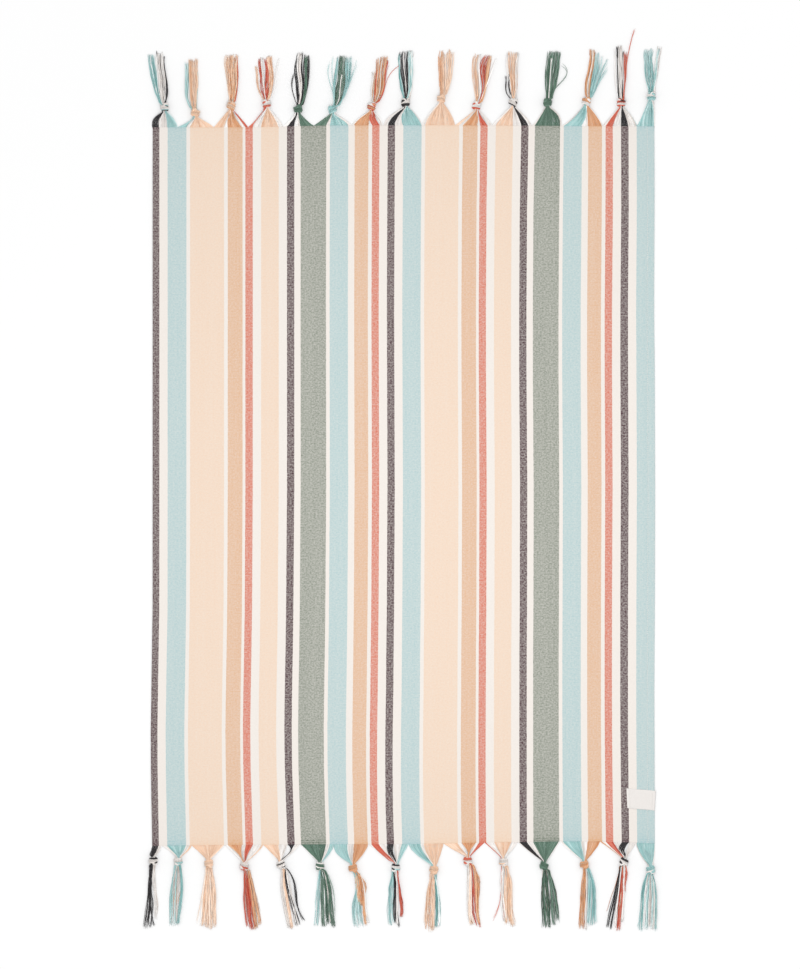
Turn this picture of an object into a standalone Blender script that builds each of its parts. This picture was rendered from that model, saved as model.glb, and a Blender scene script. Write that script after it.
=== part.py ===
"""A striped hammam towel, lying flat: the woven cloth, its knotted tassels and a small sewn label.

Sizes are in metres, +Z up. The towel's length runs along Y and its width along X, with the face up. The tables
below are in millimetres, because that is how a weaver would measure the cloth. "across" is measured from the
cloth's left edge, "along" from its bottom woven end, and "out" from a woven end towards the tassel tips. The
origin ends up under the middle of the finished towel, on the surface that it lies on.
"""
from collections import namedtuple
from math import cos, pi, radians, sin

import bmesh
import bpy
from mathutils import Matrix, Vector

MM = 0.001
GAP = 0.3 * MM  # between two pieces that touch

# The cloth.
CLOTH_WIDTH = 970 * MM
CLOTH_LENGTH = 1385 * MM  # between the last weft threads, without the tassels
CLOTH_THICKNESS = 1.2 * MM
HEM_WIDTH = 13 * MM  # the turned edge on the right
HEM_THICKNESS = 1.6 * MM

# A tassel.
NECK_WIDTH = 9 * MM  # where the yarns enter and leave the knot
NECK_HEIGHT = 6 * MM
NECK_BEFORE_KNOT = 10 * MM  # from the knot's middle
NECK_AFTER_KNOT = 9 * MM
KNOT_WIDTH = 17 * MM
KNOT_LENGTH = 15 * MM
KNOT_HEIGHT = 12 * MM
SKIRT_HEIGHT = 7 * MM
TIP_HEIGHT = 4 * MM
ARCH_SIDES = 8  # facets over the top of a tassel's section

# The sections of a tassel, from the cloth to the tips. "share" is how far along its fan or skirt one lies, or how far
# from the knot's middle in knot lengths. "fullness" is its width, from the neck's at 0 to the full width at 1, where
# the knot's own sections are shares of its full width. "height" is its full height in metres.
Section = namedtuple("Section", "share fullness height")
FAN_SECTIONS = [
    Section(0.0, 1.0, CLOTH_THICKNESS),
    Section(0.4, 0.55, 1.8 * MM),
    Section(0.75, 0.18, 3.6 * MM),
    Section(1.0, 0.0, NECK_HEIGHT),
]
KNOT_SECTIONS = [
    Section(-0.35, 0.9, 0.9 * KNOT_HEIGHT),
    Section(0.0, 1.0, KNOT_HEIGHT),
    Section(0.35, 0.88, 0.88 * KNOT_HEIGHT),
]
SKIRT_SECTIONS = [
    Section(0.0, 0.0, NECK_HEIGHT),
    Section(0.2, 0.45, SKIRT_HEIGHT),
    Section(0.5, 0.78, SKIRT_HEIGHT),
    Section(0.8, 0.95, 5.5 * MM),
    Section(1.0, 1.0, TIP_HEIGHT),
]

# The label.
LABEL_WIDTH = 56 * MM
LABEL_LENGTH = 38 * MM
LABEL_THICKNESS = 1.0 * MM
LABEL_CORNER = 1.5 * MM
LABEL_ACROSS = 943.5 * MM  # its middle
LABEL_ALONG = 85.5 * MM
LABEL_TURN = radians(-3.3)

# How far the long edges wander off a straight line, in millimetres.
EdgeDrift = namedtuple("EdgeDrift", "along left right")
EDGE_DRIFT = [
    EdgeDrift(0, -1.0, -0.5),
    EdgeDrift(66, -2.1, -0.8),
    EdgeDrift(143, -3.3, -1.1),
    EdgeDrift(220, -3.7, -1.3),
    EdgeDrift(297, -2.5, -1.4),
    EdgeDrift(374, -1.4, -1.0),
    EdgeDrift(452, 0.0, -0.6),
    EdgeDrift(693, 0.0, 0.0),
    EdgeDrift(915, 0.0, -0.8),
    EdgeDrift(1031, 0.0, -1.9),
    EdgeDrift(1224, 0.0, -1.2),
    EdgeDrift(1385, 0.0, -1.4),
]

# One row for each tassel, left to right, in millimetres: where its share of the warp ends (fan_end, across), how far
# the woven end stands off there (weft_end, out), its knot, the middle of its tips, how wide the tips spread, how far
# the skirt bows to the right between the knot and the tips, and the yarn that shows most.
Tassel = namedtuple("Tassel", "fan_end weft_end knot_across knot_out tip_across tip_out spread bow yarn")
TOP_TASSELS = [
    Tassel(49, -1.9, 24, 36, 8, 145, 36, -4, "aqua"),
    Tassel(119, -1.9, 84, 26, 78, 133, 23, -3, "peach"),
    Tassel(185, -1.9, 152, 39, 153, 139, 26, 0, "tan"),
    Tassel(252, -1.5, 221, 43, 216, 135, 32, 0, "coral"),
    Tassel(312, 0.5, 281, 33, 290, 143, 26, 0, "navy"),
    Tassel(384, 1.9, 348, 32, 372, 137, 29, 3, "green"),
    Tassel(446, 1.9, 423, 38, 445, 135, 29, 3, "tan"),
    Tassel(520, 1.9, 489, 45, 491, 147, 27, 0, "navy"),
    Tassel(584, 1.9, 557, 53, 566, 149, 29, 4, "peach"),
    Tassel(656, 1.9, 626, 39, 635, 141, 37, 3, "coral"),
    Tassel(732, 1.5, 696, 46, 696, 145, 27, -4, "peach"),
    Tassel(790, 1.1, 763, 45, 775, 145, 27, 3, "green"),
    Tassel(869, 0.5, 837, 48, 860, 143, 36, 2, "aqua"),
    Tassel(935, 0.2, 905, 45, 905, 156, 27, -1, "cream"),
    Tassel(968, 0.0, 962, 57, 969, 154, 40, -4, "aqua"),
]
BOTTOM_TASSELS = [
    Tassel(18, 3.9, 2, 32, -4, 166, 23, 0, "navy"),
    Tassel(76, 2.9, 51, 33, 45, 160, 26, 0, "aqua"),
    Tassel(140, 1.5, 109, 37, 108, 168, 31, 0, "peach"),
    Tassel(214, 1.9, 178, 42, 194, 166, 33, 0, "coral"),
    Tassel(285, 1.0, 248, 39, 277, 158, 36, 8, "peach"),
    Tassel(350, 0.5, 324, 42, 334, 166, 40, 2, "green"),
    Tassel(417, 0.5, 387, 46, 405, 164, 28, 9, "tan"),
    Tassel(495, 0.0, 470, 45, 469, 160, 28, 0, "aqua"),
    Tassel(562, 0.5, 543, 49, 541, 170, 29, 0, "peach"),
    Tassel(642, -3.0, 609, 32, 625, 162, 24, 7, "tan"),
    Tassel(706, -2.9, 677, 34, 683, 160, 35, 0, "peach"),
    Tassel(786, -4.8, 756, 41, 768, 162, 31, 4, "green"),
    Tassel(864, -5.5, 833, 39, 838, 166, 33, 5, "aqua"),
    Tassel(934, -4.5, 910, 34, 892, 168, 33, 0, "coral"),
    Tassel(969, -1.0, 961, 49, 956, 172, 37, -2, "aqua"),
]

# Colours are linear RGB.
CREAM_WEAVE = (0.88, 0.80, 0.72)
LABEL_TAPE = (0.90, 0.86, 0.80)
YARN = {
    "aqua": (0.30, 0.51, 0.52),
    "peach": (0.83, 0.57, 0.38),
    "tan": (0.66, 0.33, 0.16),
    "coral": (0.55, 0.16, 0.10),
    "green": (0.09, 0.16, 0.11),
    "navy": (0.04, 0.035, 0.04),
    "cream": (0.85, 0.80, 0.74),
}

Station = namedtuple("Station", "across out width height slant")


def between(table, key, column, place):
    """The value of a table's column at a place, on straight lines between its rows."""
    for low, high in zip(table, table[1:]):
        start, end = getattr(low, key), getattr(high, key)
        if place <= end:
            share = max(0.0, (place - start) / (end - start))
            return getattr(low, column) * (1 - share) + getattr(high, column) * share
    return getattr(table[-1], column)


def weft_ends(tassels):
    """(across, out) of the woven end at its corners and at each split between two tassels, in millimetres."""
    corners = [(0.0, tassels[0].weft_end)]
    for here, there in zip(tassels, tassels[1:]):
        corners.append((here.fan_end, (here.weft_end + there.weft_end) / 2))
    corners.append((CLOTH_WIDTH / MM, tassels[-1].weft_end))
    return corners


def weft_end_at(corners, across):
    """How far the woven end stands off at a place across the cloth, in millimetres."""
    for (start, low), (end, high) in zip(corners, corners[1:]):
        if across <= end:
            return low + (high - low) * (across - start) / (end - start)
    return corners[-1][1]


def make_material(name, colour, roughness):
    material = bpy.data.materials.new(name)
    material.use_nodes = True
    shader = material.node_tree.nodes["Principled BSDF"]
    shader.inputs["Base Color"].default_value = (*colour, 1.0)
    shader.inputs["Roughness"].default_value = roughness
    shader.inputs["Metallic"].default_value = 0.0
    return material


def make_object(name, bm, material, smooth_below=radians(35)):
    """Turns a finished bmesh into a named object, with its faces outwards."""
    bmesh.ops.recalc_face_normals(bm, faces=bm.faces[:])
    mesh = bpy.data.meshes.new(name)
    bm.to_mesh(mesh)
    bm.free()
    mesh.shade_smooth()
    mesh.set_sharp_from_angle(angle=smooth_below)
    mesh.materials.append(material)
    piece = bpy.data.objects.new(name, mesh)
    bpy.context.scene.collection.objects.link(piece)
    return piece


def raise_faces(bm, faces, height):
    """Extrudes faces straight up and returns the new ones."""
    extruded = bmesh.ops.extrude_face_region(bm, geom=faces)["geom"]
    verts = [item for item in extruded if isinstance(item, bmesh.types.BMVert)]
    bmesh.ops.translate(bm, vec=(0.0, 0.0, height), verts=verts)
    return [item for item in extruded if isinstance(item, bmesh.types.BMFace)]


def make_cloth():
    """The woven sheet: a grid between the edge stations, thickened, with the hem standing a little higher."""
    top_ends = weft_ends(TOP_TASSELS)
    bottom_ends = weft_ends(BOTTOM_TASSELS)
    hem_start = (CLOTH_WIDTH - HEM_WIDTH) / MM
    columns = sorted({across for across, out in top_ends + bottom_ends} | {hem_start})
    rows = [drift.along for drift in EDGE_DRIFT]
    length = CLOTH_LENGTH / MM

    bm = bmesh.new()
    bmesh.ops.create_grid(bm, x_segments=len(columns) - 1, y_segments=len(rows) - 1, size=0.5)
    for vert in bm.verts:
        across = columns[round((vert.co.x + 0.5) * (len(columns) - 1))]
        along = rows[round((vert.co.y + 0.5) * (len(rows) - 1))]
        share = across / columns[-1]
        left = between(EDGE_DRIFT, "along", "left", along)
        right = between(EDGE_DRIFT, "along", "right", along)
        x = across + left * (1 - share) + right * share
        y = along
        if along == rows[0]:
            y -= weft_end_at(bottom_ends, across)
        if along == rows[-1]:
            y += weft_end_at(top_ends, across)
        vert.co = (x * MM - CLOTH_WIDTH / 2, (y - length / 2) * MM, 0.0)

    face_up = raise_faces(bm, bm.faces[:], CLOTH_THICKNESS)
    hem = [face for face in face_up if face.calc_center_median().x > CLOTH_WIDTH / 2 - HEM_WIDTH]
    raise_faces(bm, hem, HEM_THICKNESS - CLOTH_THICKNESS)
    bmesh.ops.delete(bm, geom=hem, context="FACES_ONLY")
    return make_object("towel_cloth", bm, make_material("cream_weave", CREAM_WEAVE, 0.9))


def tassel_stations(tassel, fan_start, corners):
    """The sections of one tassel, from the woven end through the knot to the tips, in metres."""
    root_left = fan_start * MM + GAP
    root_right = tassel.fan_end * MM - GAP
    root_middle = (root_left + root_right) / 2
    low = weft_end_at(corners, root_left / MM) * MM
    high = weft_end_at(corners, root_right / MM) * MM
    root_width = root_right - root_left
    slant = (high - low) / root_width
    root_out = (low + high) / 2 + GAP

    knot_across, knot_out = tassel.knot_across * MM, tassel.knot_out * MM
    tip_across, tip_out = tassel.tip_across * MM, tassel.tip_out * MM
    spread, bow = tassel.spread * MM, tassel.bow * MM
    neck_out = knot_out - NECK_BEFORE_KNOT
    collar_out = knot_out + NECK_AFTER_KNOT

    stations = []
    for share, fullness, height in FAN_SECTIONS:
        across = root_middle + (knot_across - root_middle) * share
        out = root_out + (neck_out - root_out) * share
        width = NECK_WIDTH + (root_width - NECK_WIDTH) * fullness
        stations.append(Station(across, out, width, height, slant * fullness ** 2))
    for share, fullness, height in KNOT_SECTIONS:
        out = knot_out + KNOT_LENGTH * share
        stations.append(Station(knot_across, out, KNOT_WIDTH * fullness, height, 0.0))
    for share, fullness, height in SKIRT_SECTIONS:
        across = knot_across + (tip_across - knot_across) * share + bow * 4 * share * (1 - share)
        out = collar_out + (tip_out - collar_out) * share
        width = NECK_WIDTH + (spread - NECK_WIDTH) * fullness
        stations.append(Station(across, out, width, height, 0.0))
    return stations


def station_frame(station, end):
    """The matrix that carries the unit arch to a station. end is 1 at the top of the towel and -1 at the bottom."""
    half = station.width / 2
    out = CLOTH_LENGTH / 2 + station.out
    return Matrix((
        (half, 0.0, 0.0, station.across - CLOTH_WIDTH / 2),
        (half * station.slant * end, end, 0.0, out * end),
        (0.0, 0.0, station.height, 0.0),
        (0.0, 0.0, 0.0, 1.0),
    ))


def make_tassel(name, stations, end, material):
    """One arched section, flat underneath, extruded from station to station and fitted to each."""
    frames = [station_frame(station, end) for station in stations]
    bm = bmesh.new()
    angles = [pi * side / ARCH_SIDES for side in range(ARCH_SIDES + 1)]
    section = bm.faces.new([bm.verts.new((cos(angle), 0.0, sin(angle))) for angle in angles])
    bmesh.ops.transform(bm, matrix=frames[0], verts=bm.verts[:])
    for here, there in zip(frames, frames[1:]):
        extruded = bmesh.ops.extrude_face_region(bm, geom=[section])["geom"]
        if here != frames[0]:
            bmesh.ops.delete(bm, geom=[section], context="FACES_ONLY")
        section = next(item for item in extruded if isinstance(item, bmesh.types.BMFace))
        bmesh.ops.transform(bm, matrix=there @ here.inverted(), verts=section.verts[:])
    return make_object(name, bm, material)


def make_tassels(side, tassels, end, materials):
    """The row of tassels along one end of the towel."""
    corners = weft_ends(tassels)
    fan_start = 0.0
    made = []
    for number, tassel in enumerate(tassels, start=1):
        stations = tassel_stations(tassel, fan_start, corners)
        made.append(make_tassel(f"tassel_{side}_{number:02d}", stations, end, materials[tassel.yarn]))
        fan_start = tassel.fan_end
    return made


def make_label():
    """The label: a flat tape with eased corners, just clear of the hem that it is sewn over."""
    bm = bmesh.new()
    bmesh.ops.create_cube(bm, size=1.0)
    bmesh.ops.scale(bm, vec=(LABEL_WIDTH, LABEL_LENGTH, LABEL_THICKNESS), verts=bm.verts[:])
    upright = [edge for edge in bm.edges if abs((edge.verts[0].co - edge.verts[1].co).z) > LABEL_THICKNESS / 2]
    bmesh.ops.bevel(bm, geom=upright, offset=LABEL_CORNER, segments=3, profile=0.5, affect="EDGES", material=-1)
    label = make_object("label", bm, make_material("label_tape", LABEL_TAPE, 0.8))
    label.location.x = LABEL_ACROSS - CLOTH_WIDTH / 2
    label.location.y = LABEL_ALONG - CLOTH_LENGTH / 2
    label.location.z = HEM_THICKNESS + GAP + LABEL_THICKNESS / 2
    label.rotation_euler.z = LABEL_TURN
    return label


def centre_on_origin(pieces):
    """Moves all the pieces together, so that the middle of their common box comes over the origin."""
    bpy.context.view_layer.update()
    corners = [piece.matrix_world @ Vector(corner) for piece in pieces for corner in piece.bound_box]
    across = [corner.x for corner in corners]
    along = [corner.y for corner in corners]
    for piece in pieces:
        piece.location.x -= (min(across) + max(across)) / 2
        piece.location.y -= (min(along) + max(along)) / 2


def main():
    for leftover in list(bpy.data.objects):
        bpy.data.objects.remove(leftover, do_unlink=True)
    materials = {name: make_material(f"{name}_yarn", colour, 0.85) for name, colour in YARN.items()}
    pieces = [make_cloth(), make_label()]
    pieces += make_tassels("top", TOP_TASSELS, 1, materials)
    pieces += make_tassels("bottom", BOTTOM_TASSELS, -1, materials)
    centre_on_origin(pieces)


main()
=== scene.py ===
"""The looks of a striped hammam towel: its flat weave, its turned hem, its bare label and the thirty tassels that are
knotted from its own warp yarns. It lies flat, and it is seen from straight above.

The tables are in millimetres, because that is how a weaver measures cloth. "across" runs from the cloth's left edge,
"along" from its bottom woven end, and "out" from a woven end towards the tassel tips.
"""

from collections import namedtuple
from math import pi

import bmesh
import bpy
import numpy as np
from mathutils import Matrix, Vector


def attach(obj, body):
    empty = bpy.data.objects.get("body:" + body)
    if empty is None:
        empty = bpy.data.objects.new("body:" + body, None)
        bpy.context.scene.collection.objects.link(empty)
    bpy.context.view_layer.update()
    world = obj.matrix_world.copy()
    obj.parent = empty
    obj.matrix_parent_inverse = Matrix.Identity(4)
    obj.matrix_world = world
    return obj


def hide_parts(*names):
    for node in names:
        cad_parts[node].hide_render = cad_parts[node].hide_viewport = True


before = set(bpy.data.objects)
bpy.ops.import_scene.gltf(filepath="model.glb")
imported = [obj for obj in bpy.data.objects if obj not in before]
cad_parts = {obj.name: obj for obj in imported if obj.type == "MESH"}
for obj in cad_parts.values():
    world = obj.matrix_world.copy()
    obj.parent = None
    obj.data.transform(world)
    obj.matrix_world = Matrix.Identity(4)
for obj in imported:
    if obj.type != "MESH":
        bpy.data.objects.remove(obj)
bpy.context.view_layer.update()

MM = 0.001
MIDDLE_ACROSS = 486.75  # this place across the cloth, and the next one along it, lie on the origin
MIDDLE_ALONG = 684.5

# The cloth.
CLOTH_LENGTH = 1385.0
CLOTH_THICKNESS = 1.2
UNDERSIDE_GAP = 0.1  # that the sheet leaves over the table, within its thickness
END_REACH = 60.0  # how far in the cloth follows its wandering woven ends
LOOM_WIDTH = 967.7  # as warped, before the stripes settled
WARP_PITCH = 0.8  # from one warp yarn to the next
WEFT_PITCH = 0.72

# The warp, left to right. The repeat is warped twice, and then starts a third time.
STRIPES = [
    ("navy", 13.2), ("cream", 15.9), ("aqua", 35.6), ("cream", 6.8), ("peach", 65.5), ("cream", 7.5), ("tan", 27.0),
    ("cream", 6.6), ("coral", 13.6), ("cream", 16.3), ("peach", 32.6), ("cream", 16.7), ("navy", 13.9),
    ("cream", 12.2), ("green", 49.2), ("cream", 7.2), ("aqua", 34.9), ("cream", 12.4), ("tan", 27.3), ("cream", 7.0),
    ("coral", 14.1), ("cream", 16.0),
]
REPEAT = 451.5

# Where the warp came to lie once it was off the loom: (place on the loom, how far it has moved to the right).
SETTLED = [
    (0, 0.9), (13.2, -0.5), (29.1, -0.3), (64.7, 0.7), (137, 1.0), (257, 2.6), (333, 2.3), (387, 2.4), (452, 2.4),
    (589, 1.3), (630, 1.1), (709, -0.4), (784, -0.6), (903, 0.0), (916.2, 1.1), (932, 1.5), (LOOM_WIDTH, 2.3),
]

# How far the stripes wander off a straight line: at each place along the cloth, six movements to the right, at the
# places across the loom in DRIFT_PLACES.
DRIFT_PLACES = (0, 257, 452, 733, 903, LOOM_WIDTH)
DRIFT = [
    (0, (-1.0, 1.0, -1.3, 0.5, 2.9, -0.5)),
    (66, (-2.1, -1.4, -3.5, 0.2, 1.9, -0.8)),
    (143, (-3.3, -4.2, -4.3, 0.0, 1.0, -1.1)),
    (220, (-3.7, -5.2, -4.0, 0.0, 0.2, -1.3)),
    (297, (-2.5, -4.4, -2.8, 0.0, 0.0, -1.4)),
    (374, (-1.4, -2.9, -2.2, 0.0, 0.0, -1.0)),
    (452, (0.0, -1.9, -1.3, 0.6, 0.0, -0.6)),
    (693, (0.0, 0.0, 0.0, 1.0, 1.2, 0.0)),
    (915, (0.0, 0.0, -0.8, -0.6, 0.2, -0.8)),
    (1031, (0.0, 0.0, -1.2, -0.6, 0.2, -1.9)),
    (1224, (0.0, 0.0, -0.4, 0.6, 1.9, -1.2)),
    (1385, (0.0, 0.0, 0.6, 3.6, 1.5, -1.4)),
]

# A tassel, left to right: where its share of the warp ends, how far the woven end stands off there, its knot, the
# yarn it is listed under, whether its knot is tied the other way round, the dyes that cross the front of the knot
# from the cloth's side to the skirt's (with their shares), how long the left and right edges of its fan keep straight
# on before they turn to the knot, the strips of the fan that swing aside (by dye: how far, and how fast they narrow),
# and the locks of its skirt, the lowest first.
# A lock: its dye, its place across at a quarter of its way, further down and at the tip, where its tips end, and its
# width. A width of two numbers is the one near the knot and the one at the tips.
Tassel = namedtuple("Tassel", "fan_end weft_end knot_across knot_out yarn mirrored wrap lean bends locks")
TOP_TASSELS = [
    Tassel(49, -1.9, 24, 36, "aqua", False, [("navy", 1), ("aqua", 1), ("cream", 6)], (3.0, 1.6), {},
           [("aqua", 8, 1.5, -4, 140, (10, 12)), ("navy", 21, 14.5, 9, 146, 1), ("cream", 17, 14, 10, 143, 10),
            ("cream", 23, 20, 17, 144, 9), ("navy", 29, 26, 23, 137, (5, 3)), ("navy", 24, 18.5, 16, 142, 0.6)]),
    Tassel(119, -1.9, 84, 26, "peach", True, [("peach", 1)], (1.0, 1.1), {"aqua": (1, 2.5)},
           [("aqua", 67, 66.5, 66, 124, (4, 7)), ("peach", 76, 75, 74, 130, 9), ("peach", 83, 83, 82, 132, 9),
            ("aqua", 86, 87.5, 86, 108, 0.8)]),
    Tassel(185, -1.9, 152, 39, "tan", False, [("tan", 1), ("peach", 3), ("cream", 1), ("tan", 1)], (1.0, 1.0),
           {"tan": (-3, 1)},
           [("peach", 149.5, 146, 145.5, 138, 9), ("tan", 153, 151.5, 151.5, 139, 10),
            ("peach", 157, 156.5, 156, 140, 9), ("coral", 163.5, 165.5, 164, 138, 1.2),
            ("tan", 160.5, 161.5, 160.5, 140, 8)]),
    Tassel(252, -1.5, 221, 43, "coral", True, [("coral", 3), ("cream", 5)], (1.0, 1.4), {"coral": (1, 6)},
           [("peach", 206, 203, 201, 131, 3), ("coral", 213.5, 209.5, 207, 134, (8, 4)),
            ("cream", 216, 213.5, 212, 132, 3), ("peach", 229, 228, 226, 137, 9),
            ("coral", 220.5, 222, 218.5, 132, (12, 6)), ("cream", 235, 239, 245, 131, 1)]),
    Tassel(312, 0.5, 281, 33, "navy", False, [("green", 1)], (1.0, 0.8), {"navy": (0, 1.7)},
           [("navy", 280.5, 277.5, 281, 141, 5), ("cream", 286.5, 284, 285, 143, 6),
            ("navy", 285, 286.5, 288, 140, 2.5), ("green", 295, 296.5, 298, 140, 5),
            ("navy", 291, 290.5, 292, 144, 6), ("navy", 297, 300.5, 302, 139, 4),
            ("navy", 273, 269, 275, 107, 1.6)]),
    Tassel(384, 1.9, 348, 32, "green", True, [("aqua", 1)], (1.0, 1.4), {},
           [("aqua", 351, 353.5, 357.5, 134, 5), ("green", 358, 362, 366, 137, (9, 7)),
            ("cream", 361, 363, 367, 100, 1.2), ("green", 366, 369, 371, 138, (9, 7)),
            ("aqua", 372, 378, 380, 136, (4, 11)), ("aqua", 349, 341, 343, 130, 1),
            ("aqua", 350, 347.5, 349, 135, 1), ("aqua", 372, 384, 395, 129, 1)]),
    Tassel(446, 1.9, 423, 38, "tan", False, [("coral", 1), ("tan", 2), ("coral", 1), ("cream", 2)], (1.3, 1.3),
           {"coral": (-4, 0.6)},
           [("cream", 423, 425, 427, 112, 2.5), ("tan", 425, 427.5, 429, 110, 1.5),
            ("coral", 445, 449, 455, 134, 3), ("coral", 446, 453, 477, 120, 0.35),
            ("tan", 433, 435, 438.5, 135, 10), ("coral", 430, 431.5, 434, 112, 1.3),
            ("tan", 440.5, 444.5, 449, 137, 11), ("cream", 439, 440.5, 444, 134, 1.4)]),
    Tassel(520, 1.9, 489, 45, "navy", True, [("navy", 3), ("cream", 3)], (1.7, 1.8), {"aqua": (-3, 0.9)},
           [("cream", 498, 499, 500, 147, 7), ("aqua", 481.5, 477.5, 477, 141, (6, 3)),
            ("aqua", 498, 498.5, 499, 147, 9), ("navy", 487.5, 482.5, 482.5, 146, 7),
            ("navy", 492.5, 490, 490.5, 147, 6), ("cream", 490, 486.5, 486.5, 146, 0.9)]),
    Tassel(584, 1.9, 557, 53, "peach", False, [("peach", 1)], (1.4, 1.6), {},
           [("peach", 557.5, 556.5, 558, 147, 9), ("peach", 562, 562, 562.5, 148, 4),
            ("peach", 566, 566.5, 567, 145, 2), ("peach", 570, 572, 573, 149, 8),
            ("peach", 574, 577.5, 580, 144, 4)]),
    Tassel(656, 1.9, 626, 39, "coral", True, [("coral", 2), ("cream", 5)], (1.0, 1.3),
           {"tan": (2, 1), "coral": (-2, 1.7)},
           [("peach", 624, 620.5, 624, 140, 7), ("peach", 629, 626.5, 629, 139, 5),
            ("cream", 633, 630.5, 632.5, 138, 3), ("tan", 642, 646, 653, 138, (3, 6)),
            ("coral", 639, 637.5, 646, 139, (5, 11)), ("cream", 641, 651, 664, 132, 0.8)]),
    Tassel(732, 1.5, 696, 46, "peach", False, [("navy", 1), ("cream", 5)], (1.2, 1.3), {},
           [("cream", 690, 686, 685, 142, 4), ("peach", 694, 691, 690, 145, (7, 9)),
            ("peach", 700.5, 700, 700, 147, (7, 9)), ("cream", 702, 703, 707, 143, 4),
            ("navy", 683, 682, 682, 98, 1.4), ("navy", 690, 688, 688, 101, 1.8)]),
    Tassel(790, 1.1, 763, 45, "green", True, [("green", 1)], (0.75, 3.0), {},
           [("green", 762, 763.5, 767, 146, 9), ("green", 769, 771, 775, 147, 9), ("cream", 766, 768, 771, 132, 1),
            ("green", 774.5, 780, 782.5, 146, 10), ("green", 776, 796, 790, 122, 0.8)]),
    Tassel(869, 0.5, 837, 48, "aqua", False, [("cream", 3), ("tan", 3)], (0.8, 1.5), {"aqua": (4, 0.8)},
           [("tan", 836.5, 842, 844, 149, 5), ("cream", 840.5, 846, 848, 147, 3), ("tan", 843.5, 849, 853, 148, 4),
            ("aqua", 850, 856, 858, 144, 11), ("aqua", 855.5, 864.5, 878, 131, (5, 3)),
            ("aqua", 854, 862, 868, 136, (3, 2))]),
    Tassel(935, 0.2, 905, 45, "cream", True, [("coral", 1), ("cream", 2), ("coral", 1), ("navy", 1)], (1.0, 1.5),
           {},
           [("cream", 895, 893, 892, 150, 2), ("navy", 899, 897.5, 895, 155, 2.5),
            ("cream", 903, 903, 902, 157, 10), ("navy", 907, 906, 908, 150, 1.4),
            ("coral", 911, 912.5, 913, 146, (1.5, 5)), ("coral", 912, 917.5, 931, 190, 0.8)]),
    Tassel(970, 0.0, 962, 57, "aqua", False, [("aqua", 3), ("cream", 2)], (0.9, 4.0), {},
           [("cream", 971, 974, 979, 156, (3, 9)), ("aqua", 970, 972, 975, 154, (3, 7)),
            ("aqua", 957, 953, 955, 149, 9), ("aqua", 965, 961.5, 964, 151, 8)]),
]
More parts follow.
